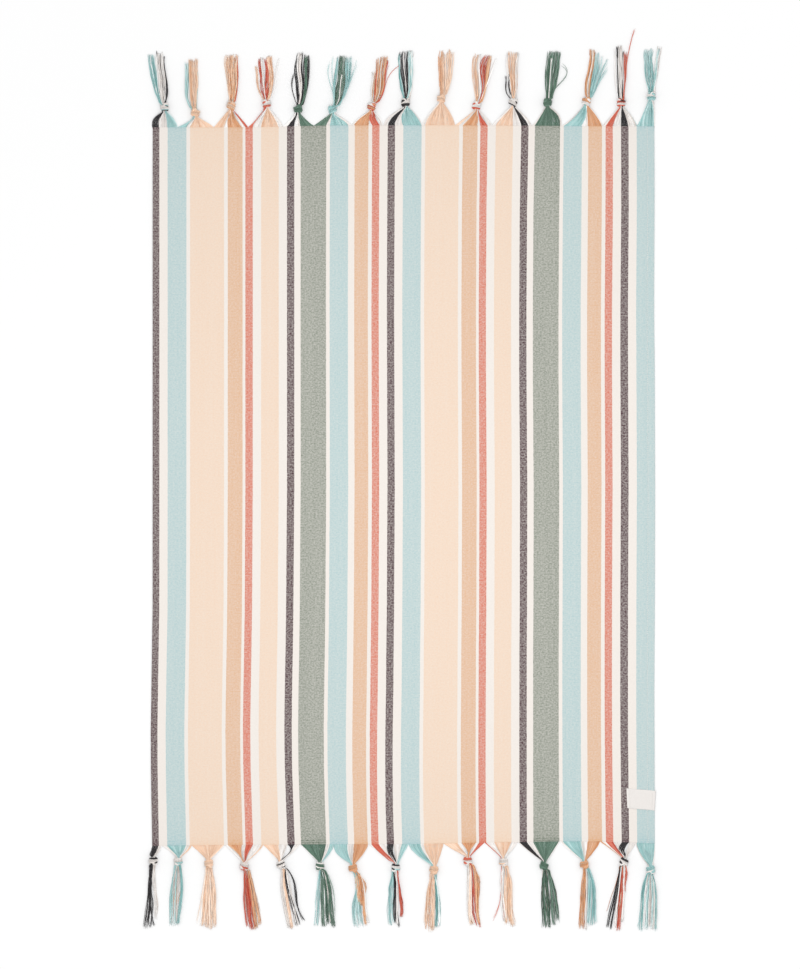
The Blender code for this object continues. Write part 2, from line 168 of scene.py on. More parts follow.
BOTTOM_TASSELS = [
    Tassel(18, 3.9, 2, 32, "navy", False, [("navy", 2), ("cream", 4)], (1.5, 1.5), {"navy": (0, 0.8)},
           [("cream", 4, 7, 8, 146, 8), ("navy", -4, -5, -9, 164, (6, 12)), ("navy", -3, -3, 5, 163, 2)]),
    Tassel(76, 2.9, 51, 33, "aqua", True, [("cream", 4), ("aqua", 2)], (0.8, 1.5), {},
           [("aqua", 40, 37, 36.5, 159, (3, 6)), ("cream", 43, 40.5, 40, 154, 5), ("aqua", 46, 43.5, 43, 158, 2),
            ("cream", 50, 48.5, 46.5, 156, 5), ("aqua", 57, 55.5, 51, 158, 6)]),
    Tassel(140, 1.5, 109, 37, "peach", False, [("peach", 1)], (1.0, 1.1), {},
           [("peach", 103, 100, 97, 160, 7), ("peach", 108, 106.5, 104.5, 163, 8), ("peach", 113, 113, 113, 168, 7),
            ("peach", 118, 120, 121, 162, 6), ("peach", 100, 94, 86, 156, 0.8)]),
    Tassel(214, 1.9, 178, 42, "coral", True, [("cream", 4), ("coral", 2)], (1.0, 1.3),
           {"tan": (1, 2), "coral": (-2, 1.3)},
           [("tan", 193, 201, 208, 159, 5), ("tan", 188.5, 194.5, 202, 166, 6),
            ("coral", 179, 179, 184, 160, (6, 5)), ("coral", 187, 191.5, 198, 165, 6),
            ("coral", 183.5, 187, 193, 167, (9, 10))]),
    Tassel(285, 1.0, 248, 39, "peach", False, [("cream", 3), ("navy", 1), ("cream", 3)], (1.0, 1.3),
           {"navy": (5, 6)},
           [("peach", 255, 261.5, 270, 164, 5), ("cream", 250, 255, 263, 162, 6), ("cream", 263, 270, 279, 158, 6),
            ("navy", 258.5, 268, 279, 161, 3.2), ("navy", 260, 271, 285, 157, 1.2),
            ("navy", 273.5, 278, 293, 152, 4.2)]),
    Tassel(350, 0.5, 324, 42, "green", True, [("cream", 1), ("green", 4), ("cream", 1)], (0.9, 1.8), {},
           [("aqua", 321, 319, 317, 160, 7), ("green", 328, 328.5, 331, 160, 7),
            ("cream", 331.5, 333, 336, 155, 1.3), ("green", 333.5, 336, 338.5, 158, 6),
            ("cream", 337, 340.5, 343, 155, 1.6), ("green", 340.5, 344, 350, 164, 8),
            ("green", 345, 351.5, 352, 148, 0.8)]),
    Tassel(417, 0.5, 387, 46, "tan", False, [("tan", 1)], (2.2, 1.5), {},
           [("aqua", 395, 391, 395, 162, (5, 8)), ("aqua", 397, 398, 403, 163, (5, 8)),
            ("cream", 408, 411, 418, 152, 2), ("tan", 401, 401, 406, 118, (12, 4)),
            ("tan", 396, 397, 403, 122, (13, 5)), ("tan", 406, 408, 413, 157, (13, 4))]),
    Tassel(495, 0.0, 470, 45, "aqua", True, [("navy", 2), ("cream", 3), ("aqua", 1)], (1.0, 1.2),
           {"navy": (-5, 0.6), "coral": (-3, 0.5)},
           [("aqua", 462, 460, 464, 158, 11), ("cream", 472, 472.5, 474, 155, 2.5),
            ("navy", 468.5, 467.5, 470, 153, 5), ("navy", 471, 473, 477, 162, 3),
            ("coral", 475.5, 480, 481.5, 142, (1.5, 5.5))]),
    Tassel(562, 0.5, 543, 49, "peach", False, [("peach", 3), ("tan", 2)], (1.5, 1.3), {},
           [("aqua", 548, 551.5, 550, 162, (5, 9)), ("peach", 535, 531, 529, 166, 9),
            ("peach", 540, 537.5, 536.5, 170, 8), ("peach", 544, 543.5, 543.5, 167, 6)]),
    Tassel(641, -3.0, 609, 32, "tan", True, [("coral", 3), ("cream", 3)], (1.1, 1.0), {"tan": (0, 1.8)},
           [("cream", 611, 610.5, 614, 150, 6), ("peach", 614.5, 613.5, 618, 158, 5),
            ("coral", 618, 617, 626.5, 161, 4), ("coral", 619, 622, 632, 162, 4),
            ("tan", 626.5, 627, 631, 156, (12, 4))]),
    Tassel(706, -2.9, 677, 34, "peach", False, [("cream", 5), ("peach", 1)], (1.0, 1.2), {},
           [("cream", 674.5, 676, 681, 150, 6), ("peach", 682, 681.5, 684, 157, 6),
            ("peach", 689, 690, 695.5, 160, (8, 10)), ("coral", 673, 671, 656, 151, 1),
            ("coral", 674, 677, 677, 147, 1)]),
    Tassel(786, -4.8, 756, 41, "green", True, [("green", 1)], (1.1, 1.0), {},
           [("green", 753.5, 754, 755, 164, 8), ("green", 760, 761.5, 763.5, 166, 10),
            ("green", 767, 770, 774, 157, 10), ("green", 771.5, 778, 780, 153, 8)]),
    Tassel(864, -5.5, 833, 39, "aqua", False, [("tan", 1)], (1.1, 1.3), {},
           [("tan", 833, 830.5, 828, 165, 11), ("cream", 838.5, 837, 837, 167, 2),
            ("aqua", 844.5, 844, 843, 158, 7), ("aqua", 850.5, 852, 851.5, 158, 7)]),
    Tassel(934, -4.5, 910, 34, "coral", True, [("navy", 2), ("cream", 3)], (1.0, 1.2), {"navy": (-7, 0.6)},
           [("peach", 906, 903, 899, 160, 3), ("navy", 898, 888.5, 878, 162, (3, 5)),
            ("navy", 900.5, 892.5, 884, 166, 3), ("cream", 910, 909, 906, 150, 3), ("coral", 915, 913, 912, 92, 5),
            ("coral", 906, 903, 898, 168, 10), ("cream", 902, 897, 893, 165, 1.2)]),
    Tassel(970, -1.0, 961, 49, "aqua", False, [("aqua", 4), ("cream", 2)], (1.6, 2.5), {},
           [("aqua", 948, 945, 941, 169, 8), ("cream", 952.5, 950, 947.5, 164, 4.5),
            ("aqua", 957, 955, 953.5, 166, 5), ("cream", 960.5, 960, 959, 162, 6.5),
            ("aqua", 965, 965, 963.5, 168, 4), ("cream", 968, 968.5, 967, 165, 3.5),
            ("aqua", 970, 972, 970, 170, 4)]),
]

# The yarns of a tassel.
YARN_RADIUS = 0.41
YARNS_PER_MM = 1.25  # of the woven end
YARNS_PER_LOCK_MM = 1.6  # that a lock needs for each millimetre of its width
LOWEST = 0.42  # that the middle of a yarn lies over the table
ROOT_HEIGHTS = (0.7, 0.86)  # of the yarns that show, at the woven end
HIDDEN_ROOT_HEIGHT = 0.43
TUCKED_IN = 2.5  # how far the yarns reach in under the woven end
NECK_BEFORE_KNOT = 10.0
NECK_AFTER_KNOT = 9.0
NECK_HALF = (5.8, 2.5)
NECK_DROP = -2.7  # from the knot's middle to the neck's
SKIRT_HALF = 6.8  # of the skirt's breadth where it leaves the knot
SKIRT_SHIFT = (0.6, 8.0)  # how much of the locks' way to one side the skirt takes in the knot, and the most it may
NECK_HEIGHT = 3.3  # of its middle, over the table
KNOT_HEIGHT = 6.0
FAN_SHARES = np.array([0.0, 0.13, 0.27, 0.42, 0.57, 0.72, 0.87])
SKIRT_SHARES = np.array([0.05, 0.12, 0.2, 0.29, 0.38, 0.47, 0.56, 0.65, 0.74, 0.83, 0.91, 0.97, 1.0])
LOCK_PLACES = (0.0, 0.25, 0.6, 1.0)  # the shares of the skirt's length that a lock's places across are given for
DEEP_SHARE = 0.36  # the share of a lock's yarns that lie deep, anywhere below its strands
TWO_STRANDS = 4.2  # the usual width of two strands of a lock, side by side
STACKED = 0.45  # how much higher each lock lies than the one before it in the table
STREAK_WIDTH = 3.5  # of the lighter and darker streaks in a fan
SWUNG_LIFT = 1.2  # how much higher a strip of the fan lies where it has swung over its neighbour

# The tones of each dye in a skirt: the mean of its strands, how much they vary, that of the deep yarns (a painted
# shade of the hollows under the strands, which the strands' flanks also lean towards), and how much paler the frayed
# tips are.
SKIRT_TONES = {
    "navy": (-0.25, 0.2, -0.6, 0.1),
    "cream": (0.03, 0.09, -0.26, 0.05),
    "aqua": (0.02, 0.16, -0.36, 0.28),
    "peach": (0.05, 0.09, -0.28, 0.06),
    "tan": (0.05, 0.14, -0.36, 0.12),
    "coral": (-0.08, 0.16, -0.44, 0.15),
    "green": (-0.06, 0.24, -0.6, 0.1),
}

# The way of the yarns through the knot, up to half way: a point (across, out, up), the side that faces outwards
# there, and the half breadth and half thickness of the bundle. The other half is the same, turned about the line
# across the knot.
KNOT_WAY = [
    ((0.0, -10.0, -2.7), (0, 0, 1), (5.8, 2.5)),
    ((0.2, -6.8, -1.2), (0, 0, 1), (5.6, 2.3)),
    ((0.5, -1.9, 0.7), (0, 0, 1), (3.6, 2.0)),
    ((1.1, 2.8, 1.5), (0, 0, 1), (3.2, 2.0)),
    ((4.0, 5.0, 2.7), (0.3, 0.5, 0.9), (3.8, 1.8)),
    ((6.9, 3.1, -0.3), (1, 0.2, 0), (4.7, 1.8)),
    ((0.0, 1.1, -4.0), (0, 0, -1), (5.2, 1.6)),
    ((-6.9, 0.0, 0.0), (-1, 0, 0), (5.4, 1.8)),
]
ORDER_KEPT = {0: 1.0, 1: 0.6}  # how much of the fan's order its first points keep. The later ones keep none.
WAY_POINTS = 27
WRAP_RINGS = ((1.0, 28), (0.5, 12))  # the bundle's rings of yarns that go round: share of its size, and their number


# ---- colours and finishes
LIGHT = 1.4  # how much brighter than its own colour a matt white reads under the studio light
STRAND_SHADE = 0.78  # the share of the light that the hollows between yarns leave them


def dyed(red, green, blue, shade=1.0):
    """The linear colour of a surface that reads as these screen numbers, from 0 to 255, in the studio light."""
    screen = np.array((red, green, blue)) / 255
    linear = np.where(screen <= 0.04045, screen / 12.92, ((screen + 0.055) / 1.055) ** 2.4)
    return tuple(float(part) for part in linear / (LIGHT * shade))


WEFT = dyed(248, 243, 236)
WOVEN = {
    "navy": dyed(138, 126, 125),
    "cream": dyed(247, 240, 233),
    "aqua": dyed(200, 218, 218),
    "peach": dyed(247, 224, 204),
    "tan": dyed(235, 200, 173),
    "coral": dyed(228, 160, 144),
    "green": dyed(176, 178, 168),
}
WEFT_SHARE = {"navy": 0.21, "cream": 0.4, "aqua": 0.42, "peach": 0.42, "tan": 0.42, "coral": 0.31, "green": 0.4}
LOOSE_WEFT = {"navy": 0.2, "cream": 0.0, "aqua": 0.2, "peach": 0.0, "tan": 0.1, "coral": 0.25, "green": 0.6}
HEATHER = {"navy": 0.95, "cream": 0.7, "aqua": 0.55, "peach": 0.45, "tan": 0.42, "coral": 0.75, "green": 0.68}
OPENED_BOTTOM = [(8, 0.36), (50, 0.1)]  # how the weft opens towards a woven end: how far in, and how much
OPENED_TOP = [(2.5, 0.3), (50, 0.08)]
LAST_WEFTS = [(10.2, 0.6), (5.4, 0.5), (1.1, 0.6)]  # the loose ones at the bottom end: their places and half widths
LAST_WEFTS_REACH = 10.6
YARN = {
    "navy": dyed(54, 51, 53, STRAND_SHADE),
    "cream": dyed(237, 232, 228, STRAND_SHADE),
    "aqua": dyed(165, 204, 203, STRAND_SHADE),
    "peach": dyed(240, 207, 181, STRAND_SHADE),
    "tan": dyed(221, 168, 128, STRAND_SHADE),
    "coral": dyed(210, 109, 88, STRAND_SHADE),
    "green": dyed(99, 127, 111, STRAND_SHADE),
}
DYES = list(YARN)


class Socket:
    """An output in a finish, with Python's own arithmetic on it."""

    def __init__(self, finish, output):
        self.finish = finish
        self.output = output

    def maths(self, operation, *values):
        return self.finish.node("ShaderNodeMath", {"operation": operation}, dict(enumerate(values)))

    def __add__(self, other):
        return self.maths("ADD", self, other)

    def __sub__(self, other):
        return self.maths("SUBTRACT", self, other)

    def __rsub__(self, other):
        return self.maths("SUBTRACT", other, self)

    def __mul__(self, other):
        return self.maths("MULTIPLY", self, other)

    def __truediv__(self, other):
        return self.maths("DIVIDE", self, other)

    __radd__ = __add__
    __rmul__ = __mul__


class Finish:
    """A material in the making. Its values are sockets that Python's arithmetic works on."""

    def __init__(self, name, roughness, sheen=0.0):
        self.material = bpy.data.materials.new(name)
        self.material.use_nodes = True
        self.tree = self.material.node_tree
        self.shader = self.tree.nodes["Principled BSDF"]
        self.shader.inputs["Roughness"].default_value = roughness
        self.shader.inputs["Specular IOR Level"].default_value = 0.15
        self.shader.inputs["Sheen Weight"].default_value = sheen
        self.shader.inputs["Sheen Roughness"].default_value = 0.5

    def feed(self, socket, value):
        if isinstance(value, Socket):
            self.tree.links.new(value.output, socket)
        else:
            socket.default_value = value

    def node(self, kind, settings=None, values=None, output=0):
        """Adds a node: its settings first, then the values or links of its sockets. It gives one of its outputs."""
        node = self.tree.nodes.new(kind)
        for setting, value in (settings or {}).items():
            if setting == "stops":
                set_stops(node.color_ramp, value)
            else:
                setattr(node, setting, value)
        for socket, value in (values or {}).items():
            self.feed(node.inputs[socket], value)
        return Socket(self, node.outputs[output])

    def sheet_place(self):
        """The place across and along a sheet, in millimetres, from its UV map."""
        place = self.node("ShaderNodeTexCoord", output="UV")
        return [self.node("ShaderNodeSeparateXYZ", values={0: place}, output=axis) * 1000 for axis in "XY"]

    def noise(self, places, detail=1.0):
        """Soft cloudy variation about 0, over a place made of up to three values."""
        vector = self.node("ShaderNodeCombineXYZ", values=dict(enumerate(places)))
        cloud = self.node("ShaderNodeTexNoise", {"noise_dimensions": "3D"}, {
            "Vector": vector, "Scale": 1.0, "Detail": detail, "Roughness": 0.6})
        return cloud - 0.5

    def scaled(self, colour, amount):
        return self.node("ShaderNodeVectorMath", {"operation": "SCALE"}, {"Vector": colour, "Scale": amount})

    def raise_surface(self, height, depth, strength=1.0):
        """Bump: depth is what a height of 1 stands for, in metres."""
        bump = self.node("ShaderNodeBump", values={"Height": height, "Distance": depth, "Strength": strength})
        self.feed(self.shader.inputs["Normal"], bump)

    def colour(self, value):
        self.feed(self.shader.inputs["Base Color"], value)


def added(sockets):
    return sum(sockets[1:], sockets[0])


def set_stops(ramp, stops):
    """Fills a colour ramp with hard-edged stops: (position, (red, green, blue, alpha))."""
    ramp.interpolation = "CONSTANT"
    while len(ramp.elements) > 1:
        ramp.elements.remove(ramp.elements[-1])
    ramp.elements[0].position = stops[0][0]
    ramp.elements[0].color = stops[0][1]
    for position, colour in stops[1:]:
        ramp.elements.new(position).color = colour


def stripe_stops(what_of):
    """The stripes of one repeat as ramp stops, with the four numbers that what_of gives for each dye."""
    stops = []
    edge = 0.0
    for dye, width in STRIPES:
        stops.append((edge / REPEAT, what_of(dye)))
        edge += width
    return stops


def warp_and_cover(dye):
    """The warp's own colour, and in alpha the share of the face that the weft covers."""
    cover = WEFT_SHARE[dye]
    warp = [max(0.0, (seen - cover * weft) / (1 - cover)) for seen, weft in zip(WOVEN[dye], WEFT)]
    return (*warp, cover)


def looseness_and_heather(dye):
    """In red how much the last wefts stand apart, in green how heathered the stripe is."""
    return (LOOSE_WEFT[dye], HEATHER[dye], 0.0, 1.0)


def woven_stripes():
    """Coloured warp stripes under a natural weft: threads, slubs, heather, and loose last wefts at the bottom."""
    finish = Finish("striped_weave", roughness=0.95, sheen=0.1)
    across, along = finish.sheet_place()

    # What a place is divided by, for a noise, is the size of its clouds in millimetres.
    wander = finish.noise([across / 40, along / 7]) * 0.9
    phase = (across + wander).maths("MODULO", across + wander, REPEAT) / REPEAT
    stripes = {"stops": stripe_stops(warp_and_cover)}
    warp = finish.node("ShaderNodeValToRGB", stripes, {"Fac": phase}, output="Color")
    cover = finish.node("ShaderNodeValToRGB", stripes, {"Fac": phase}, output="Alpha")
    manner = finish.node("ShaderNodeValToRGB", {"stops": stripe_stops(looseness_and_heather)}, {"Fac": phase})
    looseness = finish.node("ShaderNodeSeparateColor", values={0: manner}, output="Red")
    heathered = finish.node("ShaderNodeSeparateColor", values={0: manner}, output="Green")

    warp_wave = across.maths("SINE", across * (pi / WARP_PITCH))
    weft_wave = along.maths("SINE", along * (pi / WEFT_PITCH))
    threads = warp_wave * weft_wave
    heather = finish.noise([across / 3.6, along / 2.9]) * heathered
    slubs = finish.noise([across / 38, along / 1.5, 7.0])
    streaks = finish.noise([across / 1.3, along / 150, 3.0])
    bands = finish.noise([across / 9, along / 700, 5.0])

    # Towards both woven ends the weft is beaten up less closely, so the warp shows more.
    from_top = CLOTH_LENGTH - along
    falls = [(along, *fall) for fall in OPENED_BOTTOM] + [(from_top, *fall) for fall in OPENED_TOP]
    opened = added([place.maths("EXPONENT", place * (-1 / reach)) * amount for place, reach, amount in falls])
    loose_weft = added([along.maths("COMPARE", along, place, half) for place, half in LAST_WEFTS])
    gaps = along.maths("LESS_THAN", along, LAST_WEFTS_REACH) * (0.25 - 0.8 * loose_weft) * looseness
    shown = cover * (1 - opened - gaps)
    shown = shown + threads * 0.1 + heather + slubs * 0.12 + streaks * 0.12 + bands * 0.08

    colour = finish.node("ShaderNodeMix", {"data_type": "RGBA"}, {
        "Factor": shown, 6: warp, 7: (*WEFT, 1.0)}, output=2)
    specks = finish.noise([across / 3.1, along / 2.7, 11.0])
    finish.colour(finish.scaled(colour, 1 + specks * 0.1))
    finish.raise_surface(threads * 0.5 + slubs + heather * 0.6, depth=0.25 * MM, strength=0.5)
    return finish.material


def spun_yarn(dye):
    """Loosely spun, twisted cotton yarn of one dye. Each yarn has a tone, partly its own and partly painted shade
    where it lies deep in a skirt or on a strand's flank: a lower one is darker and stronger in colour, and a higher
    one is lighter and paler."""
    finish = Finish(f"{dye}_yarn", roughness=0.9, sheen=0.15)
    depth = 1.3 / np.log(np.mean(YARN[dye]))
    tone = finish.node("ShaderNodeAttribute", {"attribute_name": "tone"}, output="Fac")
    place = finish.node("ShaderNodeTexCoord", output="UV")
    length = finish.node("ShaderNodeSeparateXYZ", values={0: place}, output="X")
    around = finish.node("ShaderNodeSeparateXYZ", values={0: place}, output="Y")
    twist = length.maths("SINE", (length / 2.4 + around) * (2 * pi))
    patches = finish.noise([length / 9, tone * 40], detail=2.0)
    toned = finish.node("ShaderNodeGamma", values={"Color": (*YARN[dye], 1.0), "Gamma": 1 + tone * float(depth)})
    # The twist's 3 % in the colour is painted shade and light along the grooves between the plies.
    finish.colour(finish.scaled(toned, 1 + patches * 0.3 + twist * 0.03))
    finish.raise_surface(twist, depth=0.06 * MM, strength=0.6)
    return finish.material


def label_tape():
    """Close-woven natural tape, left bare."""
    finish = Finish("label_tape", roughness=0.85, sheen=0.1)
    across, along = finish.sheet_place()
    ribs = along.maths("SINE", along * (2 * pi / 0.9)) * across.maths("SINE", across * (2 * pi / 0.7))
    specks = finish.noise([across / 1.6, along / 1.4], detail=2.0)
    cast = finish.noise([across / 14, along / 10, 4.0])
    # A painted highlight: the raised fold at the label's left end is painted 8 % lighter.
    fold = across.maths("LESS_THAN", across, -25.0)
    finish.colour(finish.scaled(dyed(243, 238, 234), 1 + specks * 0.16 + cast * 0.05 + ribs * 0.02 + fold * 0.08))
    finish.raise_surface(ribs * 0.5 + specks, depth=0.15 * MM, strength=0.5)
    return finish.material


def sewing_thread():
    finish = Finish("sewing_thread", roughness=0.7, sheen=0.1)
    place = finish.node("ShaderNodeTexCoord", output="Object")
    flecks = finish.node("ShaderNodeTexNoise", {"noise_dimensions": "3D"}, {"Vector": place, "Scale": 900.0})
    finish.colour(finish.scaled(dyed(250, 249, 245), 0.94 + flecks * 0.12))
    finish.raise_surface(flecks, depth=0.1 * MM, strength=0.4)
    return finish.material


# ---- where cloth lies
def lying(loom, along):
    """Where a place across the loom came to lie, at a place along the cloth."""
    loom = np.asarray(loom, float)
    along = np.broadcast_to(along, loom.shape)
    places, moves = zip(*SETTLED)
    rows, drifts = zip(*DRIFT)
    drifts = np.array(drifts)
    columns = np.array([np.interp(along, rows, drifts[:, column]) for column in range(len(DRIFT_PLACES))])
    where = np.clip(np.searchsorted(DRIFT_PLACES, loom, side="right") - 1, 0, len(DRIFT_PLACES) - 2)
    low = np.take(DRIFT_PLACES, where)
    high = np.take(DRIFT_PLACES, where + 1)
    share = (loom - low) / (high - low)
    picked = np.arange(len(loom))
    drift = columns[where, picked] * (1 - share) + columns[where + 1, picked] * share
    return loom + np.interp(loom, places, moves) + drift


def weft_ends(tassels):
    """(across, out) of the woven end at its corners and at each split between two tassels."""
    corners = [(0.0, tassels[0].weft_end)]
    for here, there in zip(tassels, tassels[1:]):
        corners.append((here.fan_end, (here.weft_end + there.weft_end) / 2))
    corners.append((tassels[-1].fan_end, tassels[-1].weft_end))
    return corners


def weft_end_at(tassels, across):
    places, outs = zip(*weft_ends(tassels))
    return np.interp(across, places, outs)


def rise(across, along):
    """How far the underside of the cloth stands off the table: a few soft waves that die away towards the ends."""
    waves = np.sin(along / 61 + across / 190) + np.sin(along / 97 - across / 71 + 2.0) + np.sin(across / 53 + 1.0)
    fade = np.clip(np.minimum(along, CLOTH_LENGTH - along) / 90, 0.0, 1.0)
    return (0.3 + 0.12 * waves) * fade


def put(mesh, name, material):
    piece = bpy.data.objects.new(name, mesh)
    bpy.context.scene.collection.objects.link(piece)
    if material is not None:
        piece.data.materials.append(material)
    return piece


def grid_mesh(name, columns, rows, size=0.5):
    """A flat square of so many cells, which reaches from -size to size."""
    bm = bmesh.new()
    bmesh.ops.create_grid(bm, x_segments=columns, y_segments=rows, size=size)
    mesh = bpy.data.meshes.new(name)
    bm.to_mesh(mesh)
    bm.free()
    return mesh


def thicken(sheet, amount):
    """Gives a sheet its thickness, downwards from its face."""
    thickness = sheet.modifiers.new("thickness", "SOLIDIFY")
    thickness.thickness = amount * MM
    thickness.offset = -1.0


def new_strands(name, radius):
    """A curve that has no lines yet. Its lines become round strands of this radius, in metres."""
    strands = bpy.data.curves.new(name, "CURVE")
    strands.dimensions = "3D"
    strands.bevel_depth = radius
    strands.bevel_resolution = 0
    return strands


def strands_mesh(strands):
    spun = bpy.data.objects.new(strands.name, strands)
    mesh = bpy.data.meshes.new_from_object(spun)
    bpy.data.objects.remove(spun)
    return mesh


# ---- the cloth
HEM_PROFILE = [(-20.0, 0.0), (-14.6, 0.0), (-13.6, -0.04), (-12.8, 0.2), (-11.5, 0.42), (-6.0, 0.45), (-2.2, 0.38),
               (-0.8, 0.2), (0.0, 0.0)]  # height over the flat cloth, by place from the right edge
HEM_SEAM = 13.4  # from the right edge
HEM_STITCH_PITCH = 3.6
HEM_STITCH_LENGTH = 2.9
HEM_THREAD_RADIUS = 0.42
CLOTH_CELL = 6.5  # from the cloth's edges to the first of the mesh's even rows and columns


def make_cloth(material):
    """The woven sheet: a grid in the loom's places, moved to where the cloth lies, and given its thickness."""
    hem_columns = LOOM_WIDTH + np.array([place for place, height in HEM_PROFILE])
    even_columns = np.linspace(CLOTH_CELL, hem_columns[0] - CLOTH_CELL, 104)
    columns = np.concatenate([[0.0, 0.8], even_columns, hem_columns])
    even_rows = np.linspace(CLOTH_CELL, CLOTH_LENGTH - CLOTH_CELL, 150)
    rows = np.concatenate([[0.0, 0.4], even_rows, [CLOTH_LENGTH - 0.4, CLOTH_LENGTH]])
    mesh = grid_mesh("towel_cloth_weave", len(columns) - 1, len(rows) - 1)

    grid = np.empty(len(mesh.vertices) * 3)
    mesh.vertices.foreach_get("co", grid)
    grid = grid.reshape(-1, 3)
    loom = columns[np.rint((grid[:, 0] + 0.5) * (len(columns) - 1)).astype(int)]
    along = rows[np.rint((grid[:, 1] + 0.5) * (len(rows) - 1)).astype(int)]
    across = lying(loom, along)
    near_bottom = np.clip(1 - along / END_REACH, 0, 1) ** 2
    near_top = np.clip(1 - (CLOTH_LENGTH - along) / END_REACH, 0, 1) ** 2
    y = along - weft_end_at(BOTTOM_TASSELS, across) * near_bottom + weft_end_at(TOP_TASSELS, across) * near_top
    hem_places, hem_heights = zip(*HEM_PROFILE)
    z = CLOTH_THICKNESS + rise(across, along) + np.interp(loom - LOOM_WIDTH, hem_places, hem_heights)
    points = np.column_stack([across - MIDDLE_ACROSS, y - MIDDLE_ALONG, z]) * MM
    mesh.vertices.foreach_set("co", points.ravel())

    corners = np.empty(len(mesh.loops), int)
    mesh.loops.foreach_get("vertex_index", corners)
    loom_map = mesh.uv_layers.new(name="loom")
    loom_map.data.foreach_set("uv", (np.column_stack([loom, along]) * MM)[corners].ravel())
    mesh.shade_smooth()
    cloth = put(mesh, "towel_cloth_weave", material)
    thicken(cloth, CLOTH_THICKNESS - UNDERSIDE_GAP)
    return cloth


def close_ends(mesh, ring_counts):
    """Closes the tubes of a bevelled curve, which have shrunk to a point at both ends: the corners of each end ring
    become one. ring_counts holds how many rings each tube has."""
    sides = len(mesh.vertices) // sum(ring_counts)
    bm = bmesh.new()
    bm.from_mesh(mesh)
    bm.verts.ensure_lookup_table()
    joined = {}
    first = 0
    for ring_count in ring_counts:
        last = first + (ring_count - 1) * sides
        for corner in range(1, sides):
            joined[bm.verts[first + corner]] = bm.verts[first]
            joined[bm.verts[last + corner]] = bm.verts[last]
        first = last + sides
    bmesh.ops.weld_verts(bm, targetmap=joined)
    bmesh.ops.recalc_face_normals(bm, faces=bm.faces[:])
    bm.to_mesh(mesh)
    bm.free()


def sew(name, stitches, radius, material):
    """Short straight stitches of thread. A stitch is its two ends in metres."""
    thread = new_strands(name, radius * MM)
    for start, end in stitches:
        start, end = np.array(start), np.array(end)
        dip = np.array([0.0, 0.0, -1.1 * radius * MM])
        points = [start + dip, start * 0.85 + end * 0.15, start * 0.15 + end * 0.85, end + dip]
        stitch = thread.splines.new("POLY")
        stitch.points.add(len(points) - 1)
        for point, place in zip(stitch.points, points):
            point.co = (*place, 1.0)
        stitch.points[0].radius = 0.0
        stitch.points[-1].radius = 0.0
        stitch.use_smooth = True
    mesh = strands_mesh(thread)
    close_ends(mesh, [len(stitch.points) for stitch in thread.splines])
    return put(mesh, name, material)


def make_hem_stitches(material):
    """The line of stitches that holds the turned hem, seen on the face."""
    stitches = []
    for along in np.arange(2.0, CLOTH_LENGTH - 3.0, HEM_STITCH_PITCH):
        ends = []
        for place in (along, along + HEM_STITCH_LENGTH):
            across = lying(np.array([LOOM_WIDTH - HEM_SEAM]), place)[0]
            height = CLOTH_THICKNESS + rise(across, place) + 0.2
            ends.append(((across - MIDDLE_ACROSS) * MM, (place - MIDDLE_ALONG) * MM, height * MM))
        stitches.append(ends)
    return sew("hem_stitches", stitches, HEM_THREAD_RADIUS, material)


# ---- the label
LABEL_SIZE = (54.5, 37.5)
LABEL_CORNERS = [(916.6, 69.3), (969.4, 64.6), (971.6, 102.9), (914.9, 107.9)]  # bottom left first, and round
LABEL_FACE = 2.5  # height of its face over the table
LABEL_THICKNESS = 0.6
LABEL_SEAM = 5.6  # from each of its ends
LABEL_SEAM_HEIGHTS = {-1: -0.30, 1: 0.08}  # over the face, at the left end and at the right one
LABEL_STITCH_PITCH = 3.0
LABEL_STITCH_LENGTH = 2.3
LABEL_THREAD_RADIUS = 0.22


def on_label(across, along, height):
    """The point, in metres, of a place measured from the label's middle. The tape was sewn on a little askew."""
    right = across / LABEL_SIZE[0] + 0.5
    top = along / LABEL_SIZE[1] + 0.5
    bottom_left, bottom_right, top_right, top_left = (np.array(corner) for corner in LABEL_CORNERS)
    low = bottom_left * (1 - right) + bottom_right * right
    high = top_left * (1 - right) + top_right * right
    x, y = low * (1 - top) + high * top
    return Vector((x - MIDDLE_ACROSS, y - MIDDLE_ALONG, height)) * MM


def make_label(material):
    """A bare tape: both its ends are folded under, so it is fuller there, and it lies over the hem."""
    bm = bmesh.new()
    loom_map = bm.loops.layers.uv.new("loom")
    bmesh.ops.create_grid(bm, x_segments=56, y_segments=26, size=0.5)
    for face in bm.faces:
        for corner in face.loops:
            corner[loom_map].uv = corner.vert.co.x * LABEL_SIZE[0] * MM, corner.vert.co.y * LABEL_SIZE[1] * MM
    for vert in bm.verts:
        across = vert.co.x * LABEL_SIZE[0]
        along = vert.co.y * LABEL_SIZE[1]
        from_end = LABEL_SIZE[0] / 2 - abs(across)
        from_side = LABEL_SIZE[1] / 2 - abs(along)
        fold = 0.28 * np.exp(-((from_end - 2.6) / 2.2) ** 2)
        ease = -0.5 * np.exp(-from_end / 0.7) - 0.35 * np.exp(-from_side / 0.6)
        seam = -0.22 * np.exp(-((from_end - LABEL_SEAM) / 0.8) ** 2)
        wave = 0.09 * np.sin(across / 6.5) * np.sin(along / 7.0 + 1.0)
        slump = -0.55 * np.clip((-across - 10) / 18, 0, 1)
        wobble = 0.25 * np.sin(across / 9.0) * (abs(vert.co.y) * 2) ** 6
        vert.co = on_label(across, along + wobble, LABEL_FACE + fold + ease + seam + wave + slump)
    bmesh.ops.recalc_face_normals(bm, faces=bm.faces[:])
    mesh = bpy.data.meshes.new("label_tape_bare")
    bm.to_mesh(mesh)
    bm.free()
    mesh.shade_smooth()
    label = put(mesh, "label_tape_bare", material)
    thicken(label, LABEL_THICKNESS)
    return label


